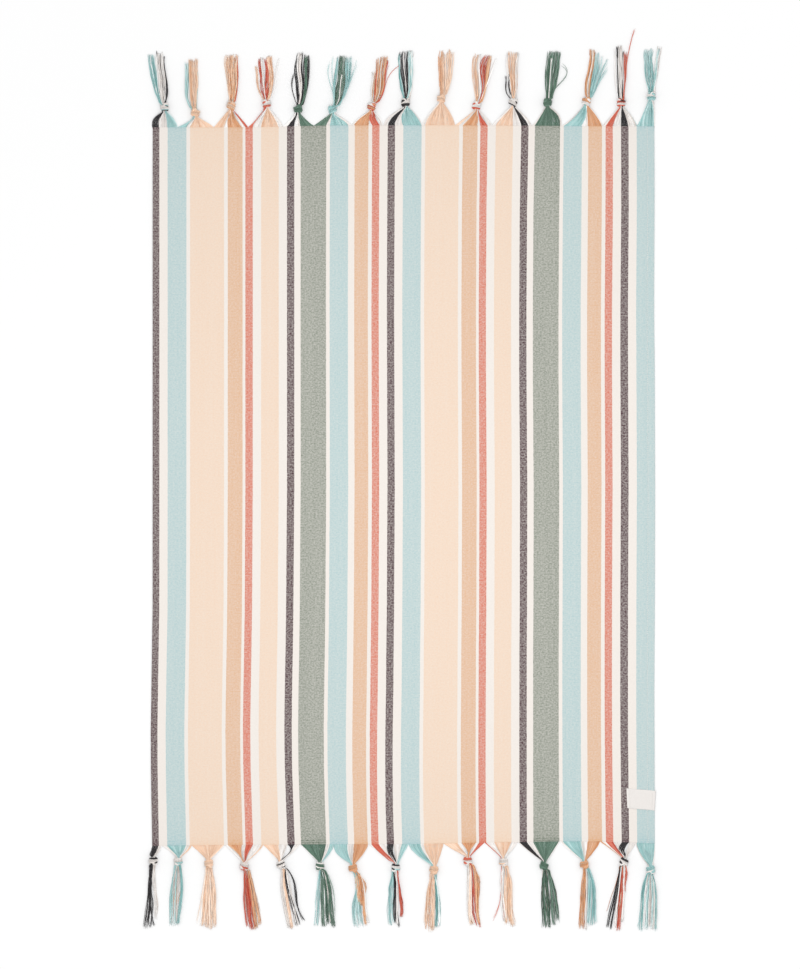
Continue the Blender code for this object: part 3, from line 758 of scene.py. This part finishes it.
def make_label_stitches(material):
    stitches = []
    for side, raised in LABEL_SEAM_HEIGHTS.items():
        across = side * (LABEL_SIZE[0] / 2 - LABEL_SEAM)
        height = LABEL_FACE + raised
        for along in np.arange(-17.0, 16.0, LABEL_STITCH_PITCH):
            ends = (along, along + LABEL_STITCH_LENGTH)
            stitches.append([on_label(across, place, height) for place in ends])
    return sew("label_stitches", stitches, LABEL_THREAD_RADIUS, material)


# ---- the tassels
def dye_at(loom):
    """The dye of the warp at each place across the loom, as its number in DYES."""
    edges = np.cumsum([width for dye, width in STRIPES])
    numbers = np.array([DYES.index(dye) for dye, width in STRIPES])
    return numbers[np.searchsorted(edges, np.mod(loom, REPEAT), side="right") % len(STRIPES)]


def disc_lanes(count):
    """Lanes in a round bundle, left to right: their places across it, and how far up and down each column reaches."""
    angles = np.linspace(0, pi, 400)
    filled = (angles - np.sin(2 * angles) / 2) / pi
    across = -np.cos(np.interp((np.arange(count) + 0.5) / count, filled, angles))
    return across, np.sqrt(np.clip(1 - across ** 2, 0, 1))


def through(points, count):
    """A smooth line (Catmull-Rom) through rows of numbers, as count rows."""
    rows = np.array(points, float)
    padded = np.vstack([2 * rows[0] - rows[1], rows, 2 * rows[-1] - rows[-2]])
    places = np.linspace(0, len(rows) - 1, count)
    first = np.minimum(places.astype(int), len(rows) - 2)
    t = (places - first)[:, None]
    p0, p1, p2, p3 = (padded[first + step] for step in range(4))
    return 0.5 * (2 * p1 + (p2 - p0) * t + (2 * p0 - 5 * p1 + 4 * p2 - p3) * t ** 2
                  + (3 * p1 - p0 - 3 * p2 + p3) * t ** 3)


def knot_way():
    """The whole way through the knot: centres, the two directions across the bundle, its half sizes, and how much of
    the fan's order and of the skirt's order it has."""
    rows = []
    for number, (point, outward, half) in enumerate(KNOT_WAY):
        rows.append([*point, *outward, *half, ORDER_KEPT.get(number, 0.0), 0.0])
    for number in reversed(range(len(KNOT_WAY) - 1)):
        point, outward, half = KNOT_WAY[number]
        opposite = (point[0], -point[1], -point[2])
        facing = (outward[0], -outward[1], -outward[2])
        rows.append([*opposite, *facing, *half, 0.0, ORDER_KEPT.get(number, 0.0)])
    rows[-1][1:3] = [NECK_AFTER_KNOT, NECK_DROP]
    way = through(rows, WAY_POINTS)
    centres = way[:, 0:3]
    tangents = np.gradient(centres, axis=0)
    tangents /= np.linalg.norm(tangents, axis=1, keepdims=True)
    outwards = way[:, 3:6] - tangents * np.sum(way[:, 3:6] * tangents, axis=1, keepdims=True)
    outwards /= np.maximum(np.linalg.norm(outwards, axis=1, keepdims=True), 1e-6)
    sideways = np.cross(outwards, tangents)
    return centres, sideways, outwards, way[:, 6:8], np.clip(way[:, 8], 0, 1), np.clip(way[:, 9], 0, 1)


WAY = knot_way()


def pick_wrap(dyes, wrap):
    """Which yarns go round the knot, and their places in the bundle, so that the wrap's dyes show in their order."""
    lanes = []
    for size, number in WRAP_RINGS:
        for angle in 2 * pi * (np.arange(number) + 0.5) / number:
            lanes.append((size * np.cos(angle), size * np.sin(angle), size < 1.0))
    lanes.sort(key=lambda lane: (lane[2], lane[1] < -0.3, -lane[1]))
    total = sum(share for dye, share in wrap)
    free = {number: list(np.flatnonzero(dyes == number)) for number in range(len(DYES))}
    picked = []
    for side, up, _ in lanes:
        place = (side + 1) / 2 * total
        for dye, share in wrap:
            place -= share
            if place <= 0:
                break
        pool = free[DYES.index(dye)] or max(free.values(), key=len)
        if pool:
            picked.append((pool.pop(len(pool) // 2), side, up))
    return picked


def lock_widths(lock):
    """The width of a lock near the knot and at its tips. A single number is the one at the tips, and a lock over 2 mm
    wide then starts narrower."""
    width = lock[-1]
    if isinstance(width, tuple):
        return width
    return (width * 0.85 if width > 2 else width, width)


def share_out(dyes, locks, rng):
    """Gives every yarn a lock of its own dye, wide locks getting more. A dye without a lock joins any neighbour."""
    given = np.empty(len(dyes), int)
    for dye in np.unique(dyes):
        members = np.flatnonzero(dyes == dye)
        own = [number for number, lock in enumerate(locks) if DYES.index(lock[0]) == dye]
        own = own or [number for number, lock in enumerate(locks) if max(lock_widths(lock)) > 4]
        widths = np.array([sum(lock_widths(locks[number])) for number in own], float)
        edges = np.cumsum(widths) / widths.sum()
        order = rng.permutation(len(members))
        given[members[order]] = np.take(own, np.searchsorted(edges, (np.arange(len(members)) + 0.5) / len(members)))
    return given


def hidden_yarns(dyes, locks, rng):
    """The yarns that a skirt needs and its part of the warp doesn't show: which shown yarns they lie under, and their
    own dyes. They keep below a stripe of their own dye, or else below the broadest one."""
    under = []
    extra = []
    for number, dye in enumerate(DYES):
        needed = sum(max(1.0, max(lock_widths(lock)) * YARNS_PER_LOCK_MM) for lock in locks if lock[0] == dye)
        missing = max(0, round(needed - np.sum(dyes == number)))
        own = np.flatnonzero(dyes == (number if np.any(dyes == number) else np.bincount(dyes).argmax()))
        under += list(rng.choice(own[len(own) // 4:len(own) - len(own) // 4], missing))
        extra += [number] * missing
    return np.array(under, int), np.array(extra, int)


def fan_yarns(tassel, tassels, roots, stripes, shown, neck_side, neck_up, rng):
    """The yarns of a fan, from the woven end to the neck. Every stripe of the warp keeps together as a strip."""
    count = len(roots)
    neck_out = tassel.knot_out - NECK_BEFORE_KNOT
    root_outs = weft_end_at(tassels, roots)
    s = FAN_SHARES
    share = ((roots - roots.min()) / (roots.max() - roots.min()))[:, None]
    lean = tassel.lean[0] * (1 - share) + tassel.lean[1] * share
    neck = (tassel.knot_across + neck_side * NECK_HALF[0])[:, None]
    x = roots[:, None] + (neck - roots[:, None]) * s ** lean
    strips = np.cumsum(np.concatenate([[0], np.diff(stripes) != 0]))
    lift = np.zeros((count, 1))
    for strip in np.unique(strips):
        members = np.flatnonzero(strips == strip)
        swing, narrowing = tassel.bends.get(DYES[stripes[members[0]]], (0, 1))
        lift[members] = SWUNG_LIFT if swing else 0.0
        middle = x[members].mean(axis=0)
        loose = rng.normal(0, 0.5) * np.sin(pi * s)
        x[members] = middle + (x[members] - middle) * (1 - s) ** (narrowing - 1) + swing * np.sin(pi * s) + loose
    x[:, 1:] += rng.normal(0, 0.2, (count, len(s) - 1))
    base = np.where(shown, rng.uniform(*ROOT_HEIGHTS, count), HIDDEN_ROOT_HEIGHT)[:, None]
    neck_z = (NECK_HEIGHT + neck_up * NECK_HALF[1])[:, None]
    z = base + (neck_z - base) * s ** 1.6 + lift * np.sin(pi * s)
    out = root_outs[:, None] + (neck_out - root_outs[:, None]) * s
    fan = np.stack([x, out, z], axis=2)
    tucked = fan[:, :1] + np.array([0.0, -TUCKED_IN, 0.0])
    return np.concatenate([tucked, fan], axis=1)


def lock_yarns(lock, stacked, members, strangers, exit_x, exit_z, exit_out, rng):
    """The yarns of one lock of a skirt: round strands that lie side by side, and deep yarns anywhere below them.
    Yarns of another dye keep to the lock's heart. It gives the yarns' points, and their tones there, which hold
    painted
    shade: darker deep yarns and darker flanks on each strand."""
    dye, near, further, tip, tip_out = lock[:5]
    near_width, tip_width = lock_widths(lock)
    mean_tone, tone_spread, deep_painted_shade, tip_tone = SKIRT_TONES[dye]
    t = SKIRT_SHARES
    count = len(members)
    strands = max(1, round((near_width + tip_width) / TWO_STRANDS))
    edges = np.cumsum(np.concatenate([[0.0], rng.uniform(0.5, 1.5, strands)]))
    edges /= edges[-1]
    side = np.clip((np.arange(count) + 0.5) / count + rng.normal(0, 0.12, count) / strands, 0.001, 0.999)
    strand = np.searchsorted(edges, side) - 1
    in_strand = 2 * (side - edges[strand]) / (edges[strand + 1] - edges[strand]) - 1
    deep = (rng.random(count) < (DEEP_SHARE if max(near_width, tip_width) > 2 else 0.0)) | strangers
    side[deep] = rng.uniform(0, 1, count)[deep]
    side = side * 2 - 1
    side[strangers] *= 0.4
    stray = rng.normal(0, 0.5, strands) / strands
    strand_tone = rng.normal(mean_tone, tone_spread, strands)
    # Painted shade: a strand's yarns darken towards its flanks, where they curve down into the hollows, and the deep
    # yarns below the strands take the darkest tone.
    strand_tone_and_flank_shade = strand_tone[strand] + (deep_painted_shade - mean_tone) * 0.5 * in_strand ** 4
    tone = np.where(deep, deep_painted_shade, strand_tone_and_flank_shade) + rng.normal(0, 0.5 * tone_spread, count)
    tone = tone[:, None] + tip_tone * np.clip((t - 0.4) / 0.6, 0, 1) ** 2
    turn = rng.uniform(0, 2 * pi, (strands, 2))
    pace = rng.uniform(0.7, 2.2, (strands, 2))
    shorter = rng.exponential(2.5, strands)[strand] + rng.exponential(2.4, count) - 1.5
    shorter[strangers] += 25
    lock_exit = exit_x[members].mean()
    line = np.polyval(np.polyfit(LOCK_PLACES, [lock_exit, near, further, tip], 3), t)
    half_width = np.interp(t, LOCK_PLACES, [near_width * 0.8, near_width, tip_width, tip_width]) / 2
    sway = 0.1 + 0.14 * half_width.max()
    settled = np.clip(t / 0.22, 0, 1)
    crowding = min(count * 2 * YARN_RADIUS / max(near_width, 2), 4)
    points = np.zeros((count, len(t), 3))
    for place, yarn in enumerate(members):
        own = strand[place]
        waves = sway * np.sin(2 * pi * pace[own, 0] * t + turn[own, 0])
        waves += 0.5 * sway * np.sin(2 * pi * rng.uniform(1.5, 3.5) * t + rng.uniform(0, 2 * pi))
        x = line + (side[place] + 2 * stray[own] * (t - 0.3)) * half_width + waves * settled
        x = x * settled + (exit_x[yarn] + (line - lock_exit)) * (1 - settled)
        x += np.clip((t - 0.86) / 0.14, 0, 1) * rng.normal(0, 1.0)
        level = 0.25 if deep[place] else 0.4 + 0.6 * np.sqrt(1 - in_strand[place] ** 2)
        level = 0.0 if strangers[place] else level * rng.uniform(0.6, 1.0)
        z = 0.45 + stacked * (1 - 0.6 * t) + level * (0.8 + 0.75 * crowding) * (1 - 0.45 * t)
        z += 0.2 * np.sin(2 * pi * pace[own, 1] * t + turn[own, 1])
        z = exit_z[yarn] * (1 - settled) + z * settled
        points[place, :, 0] = x
        points[place, :, 1] = exit_out + (tip_out - exit_out - shorter[place]) * t
        points[place, :, 2] = np.maximum(z, LOWEST)
    return points, tone


def turned(points, angle, first, second):
    """Points turned from their first axis towards the second."""
    swung = points.copy()
    swung[:, first] = np.cos(angle) * points[:, first] - np.sin(angle) * points[:, second]
    swung[:, second] = np.sin(angle) * points[:, first] + np.cos(angle) * points[:, second]
    return swung


def skirt_shift(tassel):
    """How far to the right of the knot's middle the skirt leaves it: on the side that its locks lie to."""
    widths = [sum(lock_widths(lock)) for lock in tassel.locks]
    middle = np.average([lock[1] for lock in tassel.locks], weights=widths)
    share, most = SKIRT_SHIFT
    return float(np.clip(share * (middle - tassel.knot_across), -most, most))


def knot_yarns(tassel, dyes, neck_side, neck_up, side, up, rng):
    """The yarns in the knot: some go round it and show, and the ones at the bundle's heart go straight through."""
    centres, sideways, outwards, half, fan_order, skirt_order = WAY
    roll, yaw = rng.uniform(-0.35, 0.35, 2)
    shift = skirt_shift(tassel)
    swirl = (1 - np.maximum(fan_order, skirt_order))[:, None]
    paths = [None] * len(dyes)
    for yarn, lane_side, lane_up in pick_wrap(dyes, tassel.wrap):
        around = centres + sideways * (lane_side * (half[:, :1] - YARN_RADIUS))
        around = around + outwards * (lane_up * (half[:, 1:] - YARN_RADIUS))
        around = around * (1 - swirl) + turned(turned(around, roll, 0, 2), yaw, 0, 1) * swirl
        around[:, 0] *= -1 if tassel.mirrored else 1
        first = np.column_stack([np.full(len(centres), neck_side[yarn] * NECK_HALF[0]), centres[:, 1],
                                 centres[:, 2] + neck_up[yarn] * half[:, 1]])
        last = np.column_stack([np.full(len(centres), shift + side[yarn] * SKIRT_HALF), centres[:, 1],
                                centres[:, 2] + up[yarn] * half[:, 1]])
        around = around * (1 - fan_order - skirt_order)[:, None]
        paths[yarn] = around + first * fan_order[:, None] + last * skirt_order[:, None]
    outs = np.array([-NECK_BEFORE_KNOT, -5.0, 0.0, 5.0, NECK_AFTER_KNOT])
    pinch = np.array([1.0, 0.65, 0.45, 0.65, 1.0])
    blend = np.array([0.0, 0.1, 0.5, 0.9, 1.0])
    lift = np.array([NECK_DROP, -1.2, 0.0, -1.2, NECK_DROP])
    for yarn in range(len(dyes)):
        if paths[yarn] is None:
            x = (neck_side[yarn] * NECK_HALF[0] * (1 - blend) + side[yarn] * SKIRT_HALF * blend) * pinch
            x = x + shift * np.array([0.0, 0.0, 0.0, 0.4, 1.0])
            z = lift + (neck_up[yarn] * (1 - blend) + up[yarn] * blend) * NECK_HALF[1] * pinch
            paths[yarn] = np.column_stack([x, outs, z])
        paths[yarn] = paths[yarn] + np.array([tassel.knot_across, tassel.knot_out, KNOT_HEIGHT])
        paths[yarn][:, 2] = np.maximum(paths[yarn][:, 2], LOWEST)
    return paths


def tassel_yarns(tassel, fan_start, tassels, end_along, rng):
    """Every yarn of one tassel: its points as (across, out, up), its dye, and its tone at each point."""
    count = round((tassel.fan_end - fan_start) * YARNS_PER_MM)
    roots = fan_start + (np.arange(count) + 0.5) / count * (tassel.fan_end - fan_start)
    loom = np.linspace(0, LOOM_WIDTH, 2000)
    dyes = dye_at(np.interp(roots, lying(loom, end_along), loom))
    under, extra = hidden_yarns(dyes, tassel.locks, rng)
    shown = np.arange(count + len(extra)) < count
    roots = np.concatenate([roots, roots[under]])
    stripes = np.concatenate([dyes, dyes[under]])
    dyes = np.concatenate([dyes, extra])
    order = np.argsort(roots, kind="stable")
    roots, stripes, dyes, shown = roots[order], stripes[order], dyes[order], shown[order]
    count = len(roots)

    neck_side, reach = disc_lanes(count)
    neck_up = reach * rng.uniform(-0.9, 0.9, count)
    neck_up[~shown] = -0.9 * reach[~shown]
    fan = fan_yarns(tassel, tassels, roots, stripes, shown, neck_side, neck_up, rng)

    lock_of = share_out(dyes, tassel.locks, rng)
    strangers = dyes != np.array([DYES.index(tassel.locks[number][0]) for number in lock_of])
    rank = np.argsort(np.argsort([lock[1] for lock in tassel.locks]))
    leaving = np.lexsort((rng.random(count), rank[lock_of]))
    exit_side, exit_reach = disc_lanes(count)
    side = np.empty(count)
    up = np.empty(count)
    side[leaving] = exit_side
    up[leaving] = exit_reach * rng.uniform(-0.9, 0.9, count)
    exit_x = tassel.knot_across + skirt_shift(tassel) + side * SKIRT_HALF
    exit_z = NECK_HEIGHT + up * NECK_HALF[1]
    exit_out = tassel.knot_out + NECK_AFTER_KNOT
    skirt = np.zeros((count, len(SKIRT_SHARES), 3))
    skirt_tone = np.zeros((count, len(SKIRT_SHARES)))
    for number, lock in enumerate(tassel.locks):
        members = np.flatnonzero(lock_of == number)
        if len(members):
            skirt[members], skirt_tone[members] = lock_yarns(
                lock, STACKED * number, members, strangers[members], exit_x, exit_z, exit_out, rng)
    paths = knot_yarns(tassel, dyes, neck_side, neck_up, side, up, rng)
    spread = np.array([SKIRT_TONES[DYES[dye]][1] for dye in dyes])
    places = np.linspace(roots.min(), roots.max(), 2 + round(np.ptp(roots) / STREAK_WIDTH))
    streaks = np.interp(roots, places, rng.normal(0, 0.65, len(places)))
    fan_tone = spread * (streaks + rng.normal(0, 0.5, count))
    lines = []
    tones = []
    for yarn in range(count):
        lines.append(np.vstack([fan[yarn], paths[yarn], skirt[yarn]]))
        in_knot = np.linspace(fan_tone[yarn], skirt_tone[yarn, 0] * 0.5, len(paths[yarn]))
        tones.append(np.concatenate([np.full(len(fan[yarn]), fan_tone[yarn]), in_knot, skirt_tone[yarn]]))
    return lines, dyes, tones


def make_tassel(name, lines, dyes, tones, end, finishes):
    """Spins the yarns of a tassel as round strands. end is 1 at the top of the towel and -1 at the bottom."""
    bundle = new_strands(name, 1.0)
    used = sorted(set(dyes))
    for dye in used:
        bundle.materials.append(finishes[DYES[dye]])
    woven_end = CLOTH_LENGTH - MIDDLE_ALONG if end > 0 else MIDDLE_ALONG
    lengths = []
    for line, dye in zip(lines, dyes):
        strand = bundle.splines.new("POLY")
        strand.points.add(len(line) - 1)
        place = np.column_stack([line[:, 0] - MIDDLE_ACROSS, end * (woven_end + line[:, 1]), line[:, 2]]) * MM
        strand.points.foreach_set("co", np.column_stack([place, np.ones(len(line))]).ravel())
        radius = np.full(len(line), YARN_RADIUS * MM)
        radius[-4:-1] *= (0.92, 0.8, 0.62)
        radius[0] = radius[-1] = 0.0
        strand.points.foreach_set("radius", radius)
        strand.use_smooth = True
        strand.material_index = used.index(dye)
        lengths.append(np.linalg.norm(np.diff(line, axis=0), axis=1).sum())
    mesh = strands_mesh(bundle)

    sides = len(mesh.vertices) // sum(len(line) for line in lines)
    yarn_of = np.repeat(np.arange(len(lines)), [len(line) * sides for line in lines])
    tone = mesh.attributes.new("tone", "FLOAT", "POINT")
    tone.data.foreach_set("value", np.repeat(np.concatenate(tones), sides))
    corners = np.empty(len(mesh.loops), int)
    mesh.loops.foreach_get("vertex_index", corners)
    turns = np.empty(len(mesh.loops) * 2)
    mesh.uv_layers[0].data.foreach_get("uv", turns)
    turns = turns.reshape(-1, 2)
    turns[:, 0] *= np.array(lengths)[yarn_of[corners]]
    mesh.uv_layers[0].data.foreach_set("uv", turns.ravel())
    close_ends(mesh, [len(line) for line in lines])
    return put(mesh, name, None)


def make_tassels(side, tassels, end, finishes):
    made = []
    fan_start = 0.0
    for number, tassel in enumerate(tassels, start=1):
        rng = np.random.default_rng(100 * number + (1 if end > 0 else 2))
        end_along = CLOTH_LENGTH if end > 0 else 0.0
        lines, dyes, tones = tassel_yarns(tassel, fan_start, tassels, end_along, rng)
        node = f"tassel_{side}_{number:02d}"
        piece = make_tassel(f"{node}_yarns", lines, dyes, tones, end, finishes)
        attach(piece, "root")
        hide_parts(node)
        made.append(piece)
        fan_start = tassel.fan_end
    return made


# ---- the pieces
finishes = {dye: spun_yarn(dye) for dye in DYES}
thread = sewing_thread()

cloth = make_cloth(woven_stripes())
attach(cloth, "root")
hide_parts("towel_cloth")

hem_stitches = make_hem_stitches(thread)
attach(hem_stitches, "root")

label = make_label(label_tape())
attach(label, "root")
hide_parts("label")

label_stitches = make_label_stitches(thread)
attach(label_stitches, "root")

tassels = make_tassels("top", TOP_TASSELS, 1, finishes) + make_tassels("bottom", BOTTOM_TASSELS, -1, finishes)


# ---- the studio
def make_floor():
    """A white table. It is whiter away from the middle, which makes up for the lamp's fall-off."""
    mesh = grid_mesh("studio_floor", 1, 1, size=30.0)
    finish = Finish("studio_floor", roughness=1.0)
    finish.shader.inputs["Specular IOR Level"].default_value = 0.0
    place = finish.node("ShaderNodeTexCoord", output="Object")
    away = finish.node("ShaderNodeVectorMath", {"operation": "LENGTH"}, {0: place}, output="Value")
    white = away.maths("MINIMUM", 0.72 + away * away * 0.045, 0.8)
    finish.colour(finish.scaled((1.0, 1.0, 1.0), white))
    floor = put(mesh, "studio_floor", finish.material)


def make_lights():
    world = bpy.data.worlds.new("studio")
    world.use_nodes = True
    world.node_tree.nodes["Background"].inputs["Color"].default_value = (1.0, 1.0, 1.0, 1.0)
    world.node_tree.nodes["Background"].inputs["Strength"].default_value = 1.08
    bpy.context.scene.world = world
    lamp = bpy.data.lights.new("overhead", "AREA")
    lamp.shape = "DISK"
    lamp.size = 1.2
    lamp.energy = 14.0
    overhead = bpy.data.objects.new("overhead", lamp)
    overhead.location = (0.05, -0.08, 1.9)
    overhead.rotation_euler = (Vector((0, 0, 0)) - overhead.location).to_track_quat("-Z", "Y").to_euler()
    bpy.context.scene.collection.objects.link(overhead)


VIEW_HEIGHT = 1.870  # of what the camera sees, in metres
VIEW_MIDDLE = (-0.0087, 0.0093)


def make_camera():
    """Straight above, from far enough away that nothing leans."""
    camera = bpy.data.cameras.new("camera")
    camera.lens = 150.0
    camera.sensor_width = 36.0
    camera.clip_end = 200.0
    holder = bpy.data.objects.new("camera", camera)
    holder.location = (*VIEW_MIDDLE, VIEW_HEIGHT * camera.lens / camera.sensor_width)
    bpy.context.scene.collection.objects.link(holder)
    bpy.context.scene.camera = holder


make_floor()
make_lights()
make_camera()
bpy.context.scene.view_settings.view_transform = "Standard"
